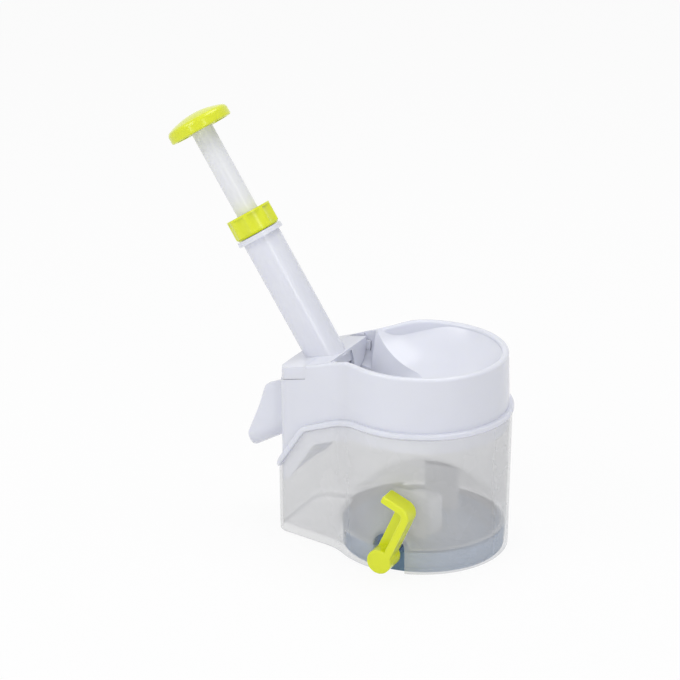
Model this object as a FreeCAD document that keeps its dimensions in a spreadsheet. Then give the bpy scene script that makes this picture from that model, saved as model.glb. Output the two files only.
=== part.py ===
import FreeCAD, Part
import math
import os
import re
import Sketcher
from FreeCAD import Placement, Rotation, Vector

# Hopper-fed cherry pitter with a spring-loaded plunger and a lever-locked suction foot.
# Frame: origin on the table under the centre of the round end, +X away from the neck,
# lever at -Y, +Z up. Heights on the slanted barrel are measured from the barrel's foot,
# positive towards the palm knob.

doc = FreeCAD.newDocument("CherryPitter")
sheet = doc.addObject("Spreadsheet::Sheet", "Sizes")

# Driving dimensions in millimetres and degrees: alias, value, meaning
SIZES = [
    ("round_radius", 51.0, "outer radius of the round end at the table"),
    ("wall_draft", 0.9, "growth of the container outline from table to lip"),
    ("neck_reach", 81.5, "end face of the neck from the round end's centre"),
    ("neck_half_width", 27.1, "half width of the neck at its end face"),
    ("flank_spread", 16.66, "how much each flank widens over the neck's reach"),
    ("blend_radius", 32.5, "hollow blend between flank and round end"),
    ("corner_radius", 10.5, "upright corners at the neck's end"),
    ("container_wall", 1.6, "container wall"),
    ("floor_height", 3.0, "underside of the neck's floor"),
    ("foot_roof", 12.5, "underside of the floor over the suction disc"),
    ("lip_height", 82.7, "parting line between lid and container at the round end"),
    ("lip_bend_x", -23.0, "where the lip starts to fall"),
    ("lip_knee_x", -60.0, "where the lip turns steeply down"),
    ("lip_knee_z", 67.2, "lip height at the knee"),
    ("lip_toe_x", -80.0, "foot of the steep stretch"),
    ("lip_toe_z", 38.5, "lip height at the neck's end face"),
    ("lip_bend_radius", 25.0, "rounding where the lip starts to fall"),
    ("lip_knee_radius", 8.0, "rounding at the knee"),
    ("lip_toe_radius", 4.0, "rounding at the toe"),
    ("lip_gap", 0.3, "gap between lid bead and container edge"),
    ("bead_height", 3.3, "height of the bead along the lip"),
    ("bead_proud", 1.8, "bead's reach beyond the base outline"),
    ("bead_round", 1.2, "rounding of the bead's edges"),
    ("skirt_depth", 9.0, "skirt inside the container below the lip"),
    ("skirt_gap", 0.4, "gap between skirt and container wall"),
    ("shoulder_height", 92.0, "where the upper wall starts to lean in"),
    ("rim_height", 118.0, "top of the round rim"),
    ("rim_lean", 0.9, "how far the upper wall leans in at the rim"),
    ("rim_bend_x", -26.0, "where the rim starts to fall"),
    ("rim_end_z", 106.8, "rim height at the cover's edge"),
    ("rim_bend_radius", 45.0, "rounding where the rim starts to fall"),
    ("rim_round", 1.6, "rounding of the rim's edges"),
    ("lid_wall", 2.2, "wall of the hopper lid"),
    ("bowl_mouth", 45.0, "inner radius of the bowl at the rim"),
    ("bowl_radius", 56.0, "radius of the dished bowl"),
    ("bowl_flare", 1.5, "how far the dish would reach past the mouth at the rim"),
    ("bowl_draw", 10.0, "how far the bowl is drawn out towards the neck"),
    ("trough_floor", 14.5, "half width of the feed trough's floor"),
    ("trough_flare", 19.5, "flare of the trough's sides from upright"),
    ("trough_corner", 13.0, "rounding of the trough's floor corners"),
    ("trough_height", 46.0, "height of the trough's form above its floor"),
    ("trough_length", 90.0, "length of the trough's form"),
    ("trough_end", 13.5, "trough's end beyond the seat's centre"),
    ("gate_floor", 90.0, "ledge under the cover's tongue"),
    ("gate_half_width", 29.2, "half width of the gate between bowl and neck"),
    ("gate_corner", 12.5, "rounding of the gate's lower corners"),
    ("gate_left", -52.4, "neck side of the gate"),
    ("gate_right", -43.0, "bowl side of the gate"),
    ("latch_width", 5.0, "latch pocket along the wall"),
    ("latch_depth", 1.0, "latch pocket into the wall"),
    ("latch_low", 99.0, "bottom of the latch pocket"),
    ("latch_gap", 0.35, "play of the latch tab in its pocket"),
    ("chute_half_width", 13.5, "inner half width of the cherry chute"),
    ("chute_corner", 10.0, "rounding of the chute's floor corners"),
    ("chute_wall", 2.0, "wall of the chute"),
    ("chute_slope", 29.5, "slope of the spout"),
    ("chute_sill", 56.9, "chute floor at the neck's end wall"),
    ("chute_head", 31.0, "opening height in the end wall"),
    ("spout_top_z", 91.0, "top edge of the spout at the end wall"),
    ("spout_brow_x", -93.6, "brow of the spout's side"),
    ("spout_brow_z", 85.2, "height of the brow"),
    ("spout_waist_x", -97.8, "hollow of the spout's end edge"),
    ("spout_waist_z", 71.5, "height of that hollow"),
    ("spout_tip_x", -105.6, "tip of the spout"),
    ("spout_tip_z", 52.5, "height of the tip's corner"),
    ("barrel_tilt", 32.7, "lean of the barrel from upright"),
    ("barrel_foot_x", -64.8, "barrel axis where it meets the cover"),
    ("barrel_foot_z", 108.9, "height of that point"),
    ("barrel_radius", 11.5, "outer radius of the barrel"),
    ("barrel_bore", 9.3, "inner radius of the barrel"),
    ("barrel_height", 75.0, "barrel from its foot to the top of its flange"),
    ("barrel_below", 11.0, "barrel below its foot"),
    ("barrel_sill", 2.0, "inward flange at the barrel's lower end"),
    ("sill_bore", 6.5, "opening of that flange"),
    ("flange_radius", 14.15, "flange under the collar"),
    ("flange_thickness", 3.0, "thickness of that flange"),
    ("spigot_radius", 10.8, "barrel spigot inside the collar"),
    ("spigot_height", 9.0, "height of that spigot"),
    ("collar_radius", 13.8, "outer radius of the collar nut"),
    ("collar_height", 13.4, "height of the collar nut"),
    ("collar_roof", 2.3, "top plate of the collar nut"),
    ("collar_gap", 0.3, "play between collar and barrel"),
    ("collar_chamfer", 1.3, "chamfer round the collar's lower end"),
    ("flute_depth", 1.5, "depth of the collar's grip flutes"),
    ("flute_radius", 12.0, "radius of each flute"),
    ("flute_count", 8, "number of flutes"),
    ("bush_flange", 1.6, "flange of the guide bush"),
    ("bush_length", 10.5, "sleeve of the guide bush"),
    ("running_gap", 0.05, "radial running clearance"),
    ("rod_radius", 6.65, "outer radius of the plunger tube"),
    ("rod_bore", 4.8, "inner radius of the plunger tube"),
    ("rod_showing", 54.3, "tube showing between collar and knob"),
    ("knob_radius", 19.2, "radius of the palm knob"),
    ("knob_side", 6.4, "side wall of the palm knob"),
    ("knob_crown", 4.2, "crown of the palm knob"),
    ("knob_edge", 3.0, "rounding between that wall and the crown"),
    ("knob_shell", 2.6, "shell of the palm knob"),
    ("knob_boss", 9.2, "radius of the knob's socket boss"),
    ("knob_socket", 6.0, "depth of the tube's socket"),
    ("carrier_length", 9.2, "piston that carries the pin"),
    ("carrier_gap", 0.3, "radial play of the piston in the barrel"),
    ("carrier_spigot", 12.0, "spigot of the piston inside the tube"),
    ("carrier_rest_gap", 0.3, "play between piston and guide bush at rest"),
    ("cross_pin_radius", 1.2, "pin through piston and pitting pin"),
    ("pin_radius", 2.9, "pitting pin"),
    ("pin_shank", 7.5, "pitting pin's length inside the piston"),
    ("pin_tip", 11.0, "pin's tip below the barrel's foot at rest"),
    ("crown_depth", 2.6, "depth of the cross cut in the pin's tip"),
    ("crown_slot", 1.6, "width of that cross cut"),
    ("stripper_thickness", 2.0, "stripper disc"),
    ("stripper_gap", 0.4, "play of the pin in the stripper"),
    ("washer_thickness", 0.5, "steel washer between stripper and spring"),
    ("washer_bore", 4.0, "inner radius of that washer"),
    ("spring_radius", 7.4, "mean radius of the return spring"),
    ("spring_wire", 0.65, "wire radius of the return spring"),
    ("spring_turns", 11, "turns of the return spring"),
    ("cover_thickness", 7.6, "height of the cover's side"),
    ("cover_slope", 14.9, "slope of the cover"),
    ("cover_edge_x", -60.0, "upright parting line of the cover"),
    ("cover_edge_z", 99.0, "lower parting line at that edge"),
    ("cover_gap", 0.3, "gap between cover and hopper"),
    ("cover_plate", 2.6, "top plate of the cover"),
    ("cover_skirt", 2.0, "skirt of the cover inside the hopper"),
    ("cover_hook", 3.0, "how far that skirt reaches into the hopper"),
    ("tongue_thickness", 2.4, "hanging tongue of the cover"),
    ("tongue_way", 14.0, "radius of the cherry's way under the tongue"),
    ("seat_depth", 46.0, "seat floor below the barrel's foot"),
    ("seat_hole", 11.0, "radius of the hole in the trough's floor"),
    ("socket_radius", 16.2, "outer radius of the seat's socket"),
    ("socket_bore", 14.0, "inner radius of that socket"),
    ("socket_depth", 8.6, "depth of the socket below the floor"),
    ("gasket_thickness", 2.2, "flange of the silicone seat"),
    ("gasket_hole", 4.4, "hole of the silicone seat"),
    ("gasket_lip", 1.2, "thickness of the slit membrane"),
    ("slit_width", 0.6, "width of the slits"),
    ("slit_reach", 8.4, "reach of the slits from the axis"),
    ("slit_count", 6, "number of slits"),
    ("ring_bore", 10.2, "inner radius of the seat's retainer"),
    ("ring_height", 4.0, "height of the seat's retainer"),
    ("fit_gap", 0.25, "play of parts seated in sockets"),
    ("foot_x", 1.7, "centre of the suction foot"),
    ("disc_radius", 47.0, "radius of the suction disc"),
    ("disc_play", 0.6, "play round the suction disc"),
    ("filling_x", -30.0, "solid footing between foot and outer wall on this side"),
    ("disc_plate", 2.4, "plate of the suction disc"),
    ("disc_rim", 12.0, "height of the suction disc's rim"),
    ("disc_rim_width", 5.0, "width of that rim"),
    ("disc_hub", 7.0, "height of the hub round the post"),
    ("hub_wall", 2.2, "wall of that hub"),
    ("dome_radius", 41.0, "radius of the dome over the foot"),
    ("dome_shoulder", 22.8, "height of the dome's shoulder"),
    ("dome_top", 44.8, "top of the dome"),
    ("axle_z", 11.5, "height of the lever's axle"),
    ("cam_throw", 1.84, "eccentric throw of the cam"),
    ("cam_angle", 33.0, "cam's angle below level at rest"),
    ("cam_radius", 5.2, "radius of the cam"),
    ("axle_radius", 3.0, "radius of the axle"),
    ("axle_start", -61.5, "outer end of the axle"),
    ("post_long", 19.0, "suction post along X"),
    ("post_wide", 17.0, "suction post along Y"),
    ("post_corner", 4.0, "upright corners of the post"),
    ("post_top", 27.0, "top of the post"),
    ("post_flange", 14.0, "flange of the post inside the disc"),
    ("post_flange_height", 2.0, "thickness of that flange"),
    ("eye_gap", 0.15, "play of the cam in the post's eye"),
    ("eye_side", 0.35, "sideways play of the cam in the eye"),
    ("bearing_gap", 11.5, "space between post and bearing walls"),
    ("bearing_wall", 4.0, "thickness of the bearing walls"),
    ("bearing_width", 20.0, "width of the bearing walls"),
    ("bearing_low", 5.0, "lower edge of the bearing walls"),
    ("clip_radius", 5.4, "retaining clip"),
    ("clip_thickness", 1.0, "thickness of the retaining clip"),
    ("groove_depth", 0.7, "clip's groove in the axle"),
    ("port_half_width", 9.5, "half width of the lever's port"),
    ("port_top", 24.0, "top of the lever's port"),
    ("port_depth", 13.0, "tunnel of the port into the container"),
    ("hub_radius", 7.3, "lever hub"),
    ("hub_front", -64.0, "front face of the lever hub"),
    ("hub_length", 13.6, "length of the lever hub"),
    ("lever_lean", 24.0, "lean of the lever's arm from upright at rest"),
    ("arm_length", 38.6, "arm from the axle to the outer bend"),
    ("arm_outer", 5.1, "outer face of the arm from the axle's centre line"),
    ("arm_thickness", 4.6, "thickness of arm and tab"),
    ("arm_depth", 11.6, "depth of arm and tab along the axle"),
    ("tab_length", 19.5, "finger tab from the outer bend"),
    ("bend_radius", 7.0, "outer bend between arm and tab"),
    ("web_depth", 3.4, "web beside the arm"),
    ("web_width", 6.6, "web's reach from the arm"),
    ("lever_round", 0.9, "rounded edges of the lever"),
]
for row, (alias, value, meaning) in enumerate(SIZES, start=1):
    sheet.set("A%d" % row, meaning)
    sheet.set("B%d" % row, str(value))
    sheet.setAlias("B%d" % row, alias)
doc.recompute()


class Dimensions:
    """The sheet's values, read by alias."""

    def __getattr__(self, alias):
        return float(sheet.get(alias))


dim = Dimensions()
parts = []


def bound(text):
    """An expression in sheet aliases, as the document writes it."""
    return re.sub(r"[a-z]+(_[a-z]+)+", lambda word: "Sizes." + word.group(0), text)


# Helpers for sketched bodies

def new_body(label, placement=None):
    body = doc.addObject("PartDesign::Body", label)
    body.Label = label
    if placement is not None:
        body.Placement = placement
    parts.append(body)
    return body


def new_sketch(body, name, role, height=None):
    """A sketch on one of the body's own origin planes, moved along its normal."""
    sketch = body.newObject("Sketcher::SketchObject", body.Name + "_" + name)
    plane = [item for item in body.Origin.OriginFeatures if item.Role == role][0]
    sketch.AttachmentSupport = [(plane, "")]
    sketch.MapMode = "FlatFace"
    if height is not None:
        sketch.setExpression(".AttachmentOffset.Base.z", bound(height))
    return sketch


def draw_polygon(sketch, corners, crown=None):
    """A closed polygon whose corners are bound to expressions.

    The side that starts at the corner numbered crown is an arc about a point on the upright axis.
    """
    count = len(corners)
    first = sketch.GeometryCount
    guess = [Vector(*[float(sketch.evalExpression(bound(text))) for text in corner])
             for corner in corners]
    for i in range(count):
        start, end = guess[i], guess[(i + 1) % count]
        if i == crown:
            rise, radius = end.y - start.y, start.x
            ball = (radius**2 + rise**2) / (2 * rise)
            circle = Part.Circle(Vector(0, end.y - ball, 0), Vector(0, 0, 1), ball)
            side = Part.ArcOfCircle(circle, math.asin((ball - rise) / ball), math.pi / 2)
        else:
            side = Part.LineSegment(start, end)
        sketch.addGeometry(side)
    for i in range(count):
        follower = first + (i + 1) % count
        sketch.addConstraint(Sketcher.Constraint("Coincident", first + i, 2, follower, 1))
    for i, corner in enumerate(corners):
        for kind, text, value in zip(("DistanceX", "DistanceY"), corner, guess[i]):
            place = sketch.addConstraint(Sketcher.Constraint(kind, first + i, 1, value))
            sketch.setExpression("Constraints[%d]" % place, bound(text))
    if crown is not None:
        sketch.addConstraint(Sketcher.Constraint("PointOnObject", first + crown, 3, -2))


def draw_circle(sketch, radius, x="0", y="0"):
    circle = sketch.addGeometry(Part.Circle(Vector(1, 1, 0), Vector(0, 0, 1), 5))
    for kind, text in (("DistanceX", x), ("DistanceY", y)):
        place = sketch.addConstraint(Sketcher.Constraint(kind, circle, 3, 1.0))
        sketch.setExpression("Constraints[%d]" % place, bound(text))
    place = sketch.addConstraint(Sketcher.Constraint("Radius", circle, 5.0))
    sketch.setExpression("Constraints[%d]" % place, bound(radius))


def revolve(body, corners, crown=None):
    """Turns a half section, given as (radius, height) corners, about the body's Z axis."""
    sketch = new_sketch(body, "section", "XZ_Plane")
    draw_polygon(sketch, corners, crown)
    feature = body.newObject("PartDesign::Revolution", body.Name + "_turning")
    feature.Profile = sketch
    feature.ReferenceAxis = (sketch, ["V_Axis"])
    feature.Angle = 360
    doc.recompute()
    return feature


def pad(body, sketch, length, midplane=False, reversed_=False):
    feature = body.newObject("PartDesign::Pad", sketch.Name + "_pad")
    feature.Profile = sketch
    feature.setExpression("Length", bound(length))
    feature.Midplane = midplane
    feature.Reversed = reversed_
    doc.recompute()
    return feature


def pocket(body, sketch, length=None, midplane=False, reversed_=False):
    """Cuts a sketch out of the body and makes sure that it removed material."""
    before = body.Shape.Volume
    feature = body.newObject("PartDesign::Pocket", sketch.Name + "_pocket")
    feature.Profile = sketch
    if length is None:
        feature.Type = "ThroughAll"
    else:
        feature.setExpression("Length", bound(length))
    feature.Midplane = midplane
    feature.Reversed = reversed_
    doc.recompute()
    if body.Shape.Volume >= before - 1e-3:
        raise RuntimeError("pocket removed nothing in " + body.Label)
    return feature


def polar(body, feature, count):
    """Repeats a feature round the body's Z axis."""
    pattern = body.newObject("PartDesign::PolarPattern", feature.Name + "_ring")
    pattern.Originals = [feature]
    axis = [item for item in body.Origin.OriginFeatures if item.Role == "Z_Axis"][0]
    pattern.Axis = (axis, [""])
    pattern.Angle = 360
    pattern.setExpression("Occurrences", bound(count))
    body.Tip = pattern
    doc.recompute()
    return pattern


def round_edges(body, feature, radius, wanted, kind="Fillet"):
    """Rounds or chamfers the edges of a feature that pass a test."""
    names = ["Edge%d" % (i + 1) for i, edge in enumerate(feature.Shape.Edges) if wanted(edge)]
    dress = body.newObject("PartDesign::" + kind, feature.Name + "_" + kind.lower())
    dress.Base = (feature, names)
    dress.setExpression("Radius" if kind == "Fillet" else "Size", bound(radius))
    doc.recompute()
    return dress


def ring_at(radius, height):
    """A test for whole circles about Z with this radius and height."""
    def test(edge):
        box = edge.BoundBox
        sizes = (box.ZMin - height, box.ZMax - height, box.XMin + radius, box.XMax - radius)
        return max(abs(size) for size in sizes) < 1e-2
    return test


# Helpers for moulded shells

def rounded_wire(corners):
    """A closed wire through (point, radius) corners, each rounded by a tangent arc."""
    count = len(corners)
    starts, ends, middles = [], [], []
    for i, (point, radius) in enumerate(corners):
        back = (corners[i - 1][0] - point).normalize()
        ahead = (corners[(i + 1) % count][0] - point).normalize()
        half = math.acos(max(-1.0, min(1.0, back.dot(ahead)))) / 2
        if radius <= 0 or abs(half - math.pi / 2) < 1e-6:
            starts.append(point)
            ends.append(point)
            middles.append(None)
            continue
        reach = radius / math.tan(half)
        inward = (back + ahead).normalize()
        starts.append(point + back * reach)
        ends.append(point + ahead * reach)
        middles.append(point + inward * (radius / math.sin(half) - radius))
    edges = []
    for i in range(count):
        if middles[i] is not None:
            edges.append(Part.Arc(starts[i], middles[i], ends[i]).toShape())
        follower = starts[(i + 1) % count]
        if (follower - ends[i]).Length > 1e-6:
            edges.append(Part.LineSegment(ends[i], follower).toShape())
    return Part.Wire(edges)


def side_slab(corners, y_low, y_high):
    """An (x, z, radius) outline in side view, pushed across from y_low to y_high."""
    wire = rounded_wire([(Vector(x, y_low, z), radius) for x, z, radius in corners])
    return Part.Face(wire).extrude(Vector(0, y_high - y_low, 0))


def cylinder(radius, start, direction, length):
    return Part.makeCylinder(radius, length, start, direction)


def keyhole(grow, z):
    """The outline in plan at height z: round end and neck, grown outwards by grow."""
    slope = dim.flank_spread / dim.neck_reach
    stretch = math.hypot(1, slope)
    radius = dim.round_radius + grow
    blend = dim.blend_radius - grow
    corner = dim.corner_radius + grow
    reach = dim.neck_reach + grow

    def flank(x):
        return dim.neck_half_width + grow * stretch + slope * (x + dim.neck_reach)

    offset = flank(0) + blend * stretch
    square = 1 + slope * slope
    root = math.sqrt(4 * slope**2 * offset**2 - 4 * square * (offset**2 - (radius + blend)**2))
    centre_x = (-2 * slope * offset - root) / (2 * square)
    centre = Vector(centre_x, slope * centre_x + offset, z)
    outward = Vector(-slope, 1, 0) / stretch
    on_round = Vector(centre.x, centre.y, 0) * (radius / (radius + blend)) + Vector(0, 0, z)
    on_flank = centre - outward * blend
    blend_mid = centre + ((on_round - centre) + (on_flank - centre)).normalize() * blend
    corner_x = -reach + corner
    pivot = Vector(corner_x, flank(corner_x) - corner * stretch, z)
    off_flank = pivot + outward * corner
    off_end = pivot + Vector(-corner, 0, 0)
    corner_mid = pivot + (outward + Vector(-1, 0, 0)).normalize() * corner

    def mirrored(point):
        return Vector(point.x, -point.y, point.z)

    edges = [
        Part.Arc(on_round, Vector(radius, 0, z), mirrored(on_round)).toShape(),
        Part.Arc(mirrored(on_round), mirrored(blend_mid), mirrored(on_flank)).toShape(),
        Part.LineSegment(mirrored(on_flank), mirrored(off_flank)).toShape(),
        Part.Arc(mirrored(off_flank), mirrored(corner_mid), mirrored(off_end)).toShape(),
        Part.LineSegment(mirrored(off_end), off_end).toShape(),
        Part.Arc(off_end, corner_mid, off_flank).toShape(),
        Part.LineSegment(off_flank, on_flank).toShape(),
        Part.Arc(on_flank, blend_mid, on_round).toShape(),
    ]
    return Part.Wire(edges)


def keyhole_prism(grow_low, z_low, grow_high, z_high):
    if abs(grow_high - grow_low) < 1e-6:
        return Part.Face(keyhole(grow_low, z_low)).extrude(Vector(0, 0, z_high - z_low))
    return Part.makeLoft([keyhole(grow_low, z_low), keyhole(grow_high, z_high)], True, True)


def container_grow(z):
    """How far the container's outer wall stands outside the base outline at z."""
    return dim.wall_draft * z / dim.lip_height


def skirt_grow(z):
    return container_grow(z) - dim.container_wall - dim.skirt_gap


# Outside limits for cutting outlines, beyond every wall
far = 2 * dim.round_radius + dim.neck_reach
wide = 2 * dim.round_radius


def lip_outline(shift, floor):
    """Everything below the lip line, which is moved by shift square to itself."""
    bends = [(far, dim.lip_height, 0),
             (dim.lip_bend_x, dim.lip_height, dim.lip_bend_radius),
             (dim.lip_knee_x, dim.lip_knee_z, dim.lip_knee_radius),
             (dim.lip_toe_x, dim.lip_toe_z, dim.lip_toe_radius),
             (-far, dim.lip_toe_z, 0)]
    normals = []
    for (x0, z0, _), (x1, z1, _) in zip(bends, bends[1:]):
        along = Vector(x1 - x0, 0, z1 - z0).normalize()
        normals.append(Vector(-along.z, 0, along.x) * -1)
    moved = [(far, dim.lip_height + shift, 0)]
    for i in range(1, 4):
        before, after = normals[i - 1], normals[i]
        split = (before + after).normalize()
        step = split * (shift / split.dot(before))
        swell = -shift if i == 3 else shift
        radius = max(0.8, bends[i][2] + swell)
        moved.append((bends[i][0] + step.x, bends[i][1] + step.z, radius))
    moved.append((-far, dim.lip_toe_z + shift, 0))
    moved += [(-far, floor, 0), (far, floor, 0)]
    return moved


def below_lip(shift, floor=-50.0):
    return side_slab(lip_outline(shift, floor), -wide, wide)


# The barrel's frame
tilt = math.radians(dim.barrel_tilt)
barrel_up = Vector(-math.sin(tilt), 0, math.cos(tilt))
slope_up = Vector(math.cos(tilt), 0, math.sin(tilt))
barrel_foot = Vector(dim.barrel_foot_x, 0, dim.barrel_foot_z)
on_barrel = Placement(barrel_foot, Rotation(Vector(0, 1, 0), -dim.barrel_tilt))
seat_centre = barrel_foot - barrel_up * dim.seat_depth
collar_top = dim.barrel_height + dim.collar_height

axle_x = dim.foot_x + dim.cam_throw * math.cos(math.radians(dim.cam_angle))


def add_shape(label, shape, placement=None):
    feature = doc.addObject("Part::Feature", label)
    feature.Label = label
    feature.Shape = shape
    if placement is not None:
        feature.Placement = placement
    parts.append(feature)
    return feature


# Container: translucent bin with a dome over the suction foot
def dome_solid(grow):
    """The dome over the suction foot, grown outwards by grow."""
    radius = dim.dome_radius + grow
    shoulder = Vector(radius, 0, dim.dome_shoulder + grow)
    top = Vector(0, 0, dim.dome_top + grow)
    rise = top.z - shoulder.z
    crown = (radius**2 + rise**2) / (2 * rise)
    half = math.asin(radius / crown) / 2
    middle = Vector(crown * math.sin(half), 0, top.z - crown + crown * math.cos(half))
    low = dim.foot_roof - 1.0
    edges = [Part.Arc(top, middle, shoulder).toShape(),
             Part.LineSegment(shoulder, Vector(radius, 0, low)).toShape(),
             Part.LineSegment(Vector(radius, 0, low), Vector(0, 0, low)).toShape(),
             Part.LineSegment(Vector(0, 0, low), top).toShape()]
    solid = Part.Face(Part.Wire(edges)).revolve(Vector(0, 0, 0), Vector(0, 0, 1), 360)
    solid.translate(Vector(dim.foot_x, 0, 0))
    return solid


def port_solid(grow, y_low, y_high):
    """The arched tunnel that the lever's hub turns in."""
    half = dim.port_half_width + grow
    crown = dim.port_top + grow
    corners = [(axle_x - half, -5.0, 0), (axle_x + half, -5.0, 0),
               (axle_x + half, crown, half - 0.01), (axle_x - half, crown, half - 0.01)]
    return side_slab(corners, y_low, y_high)


def make_container():
    wall = dim.container_wall
    top = dim.lip_height + 10.0
    outer = keyhole_prism(0, 0, container_grow(top), top)
    body = outer.common(below_lip(-dim.lip_gap))
    base = dim.floor_height + wall
    inside = keyhole_prism(container_grow(base) - wall, base, container_grow(top) - wall, top)
    roof = dim.foot_roof + wall
    up = Vector(0, 0, 1)
    foot = cylinder(dim.disc_radius + dim.disc_play + wall, Vector(dim.foot_x, 0, 0), up, roof)
    filling = cylinder(dim.round_radius, Vector(0, 0, 0), up, roof)
    filling = filling.common(Part.makeBox(far, 2 * wide, roof, Vector(dim.filling_x, -wide, 0)))
    port_end = -dim.round_radius + dim.port_depth
    kept = foot.fuse([filling, dome_solid(wall), port_solid(wall, -wide, port_end + wall)])
    body = body.cut(inside.cut(kept))
    hollow = cylinder(dim.disc_radius + dim.disc_play, Vector(dim.foot_x, 0, -1), up,
                      dim.foot_roof + 1)
    recess = keyhole_prism(-wall, -1, -wall, dim.floor_height)
    body = body.cut([hollow, dome_solid(0), recess, port_solid(0, -wide, port_end)])
    reach = dim.post_wide / 2 + dim.bearing_gap
    walls = []
    for side in (-1, 1):
        near = min(side * reach, side * (reach + dim.bearing_wall))
        half = dim.bearing_width / 2
        corners = [(axle_x - half, dim.dome_top, 0), (axle_x - half, dim.bearing_low, 4),
                   (axle_x + half, dim.bearing_low, 4), (axle_x + half, dim.dome_top, 0)]
        walls.append(side_slab(corners, near, near + dim.bearing_wall).common(dome_solid(0.5 * wall)))
    body = body.fuse(walls)
    bore = cylinder(dim.axle_radius + dim.running_gap, Vector(axle_x, -reach - 10, dim.axle_z),
                    Vector(0, 1, 0), 2 * reach + 20)
    return body.cut(bore).removeSplitter()


# Suction disc: soft disc with a rim, and a hub that holds the post's flange
def make_suction_disc():
    body = new_body("suction_disc", Placement(Vector(dim.foot_x, 0, 0), Rotation()))
    under = "disc_plate"
    pocket_top = "disc_plate + fit_gap + post_flange_height + fit_gap"
    hub_in = "post_flange + fit_gap"
    turned = revolve(body, [
        ("0", "0"), ("disc_radius", "0"), ("disc_radius", "disc_rim"),
        ("disc_radius - disc_rim_width", "disc_rim"),
        ("disc_radius - disc_rim_width - hub_wall", "disc_plate"),
        (hub_in + " + hub_wall + hub_wall", "disc_plate"),
        (hub_in + " + hub_wall", "disc_hub"),
        ("post_flange - hub_wall", "disc_hub"), ("post_flange - hub_wall", pocket_top),
        (hub_in, pocket_top), (hub_in, under), ("0", under)])
    sketch = new_sketch(body, "axle_notch", "XZ_Plane")
    low = "axle_z - axle_radius - hub_wall"
    offset = repr(round(axle_x - dim.foot_x, 6))
    draw_polygon(sketch, [(offset + " - cam_radius", low), (offset + " + cam_radius", low),
                          (offset + " + cam_radius", "disc_rim + hub_wall"),
                          (offset + " - cam_radius", "disc_rim + hub_wall")])
    pocket(body, sketch, "disc_radius + hub_wall", reversed_=True)
    return turned


# Suction post: block with a slotted eye for the cam, pulled up to lock the foot
def make_suction_post():
    body = new_body("suction_post", Placement(Vector(dim.foot_x, 0, 0), Rotation()))
    sketch = new_sketch(body, "flange", "XY_Plane", "disc_plate + fit_gap")
    draw_circle(sketch, "post_flange")
    pad(body, sketch, "post_flange_height")
    sketch = new_sketch(body, "block", "XY_Plane", "disc_plate + fit_gap")
    half_x, half_y = "post_long / 2", "post_wide / 2"
    draw_polygon(sketch, [("-" + half_x, "-" + half_y), (half_x, "-" + half_y),
                          (half_x, half_y), ("-" + half_x, half_y)])
    block = pad(body, sketch, "post_top - disc_plate - fit_gap")
    upright = round_edges(body, block, "post_corner", lambda edge: (
        edge.BoundBox.ZLength > 10 and edge.BoundBox.XLength < 1e-3 and edge.BoundBox.YLength < 1e-3))
    crown = round_edges(body, upright, "hub_wall", lambda edge: (
        edge.BoundBox.ZLength < 1e-3 and edge.BoundBox.ZMin > dim.post_top - 1e-3))
    sketch = new_sketch(body, "eye", "XZ_Plane")
    level = "axle_z - cam_throw * sin(cam_angle * 1deg)"
    half_wide = "(cam_radius + eye_gap + eye_side)"
    half_high = "(cam_radius + eye_gap)"
    draw_polygon(sketch, [("-" + half_wide, level + " - " + half_high),
                          (half_wide, level + " - " + half_high),
                          (half_wide, level + " + " + half_high),
                          ("-" + half_wide, level + " + " + half_high)])
    pocket(body, sketch, "post_wide * 2", midplane=True)
    return crown


# Cam axle: shaft through the lever's hub, with an eccentric in the post's eye
def make_cam_axle():
    turn = Placement(Vector(axle_x, 0, dim.axle_z), Rotation(Vector(1, 0, 0), 90))
    body = new_body("cam_axle", turn)
    reach = "(post_wide / 2 + bearing_gap + bearing_wall)"
    groove = reach + " + fit_gap"
    tail = groove + " + clip_thickness + fit_gap + fit_gap"
    shaft = revolve(body, [
        ("0", "-axle_start"), ("axle_radius", "-axle_start"),
        ("axle_radius", "-(%s)" % groove),
        ("axle_radius - groove_depth", "-(%s)" % groove),
        ("axle_radius - groove_depth", "-(%s + clip_thickness + fit_gap)" % groove),
        ("axle_radius", "-(%s + clip_thickness + fit_gap)" % groove),
        ("axle_radius", "-(%s + hub_wall)" % tail), ("0", "-(%s + hub_wall)" % tail)])
    sketch = new_sketch(body, "cam", "XY_Plane")
    draw_circle(sketch, "cam_radius", "-cam_throw * cos(cam_angle * 1deg)",
                "-cam_throw * sin(cam_angle * 1deg)")
    pad(body, sketch, "post_wide", midplane=True)
    return shaft


# Retaining clip on the inner end of the cam axle
def make_retaining_clip():
    reach = dim.post_wide / 2 + dim.bearing_gap + dim.bearing_wall
    place = Vector(axle_x, reach + dim.fit_gap, dim.axle_z)
    body = new_body("retaining_clip", Placement(place, Rotation(Vector(1, 0, 0), -90)))
    sketch = new_sketch(body, "ring", "XY_Plane", "fit_gap / 2")
    draw_circle(sketch, "clip_radius")
    pad(body, sketch, "clip_thickness")
    sketch = new_sketch(body, "grip", "XY_Plane", "fit_gap / 2 + clip_thickness")
    draw_circle(sketch, "axle_radius - groove_depth + running_gap")
    pocket(body, sketch)
    sketch = new_sketch(body, "mouth", "XY_Plane", "fit_gap / 2 + clip_thickness")
    half = "(axle_radius - groove_depth) * 0.8"
    draw_polygon(sketch, [("-" + half, "0"), (half, "0"), (half, "clip_radius * 2"),
                          ("-" + half, "clip_radius * 2")])
    pocket(body, sketch)


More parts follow.
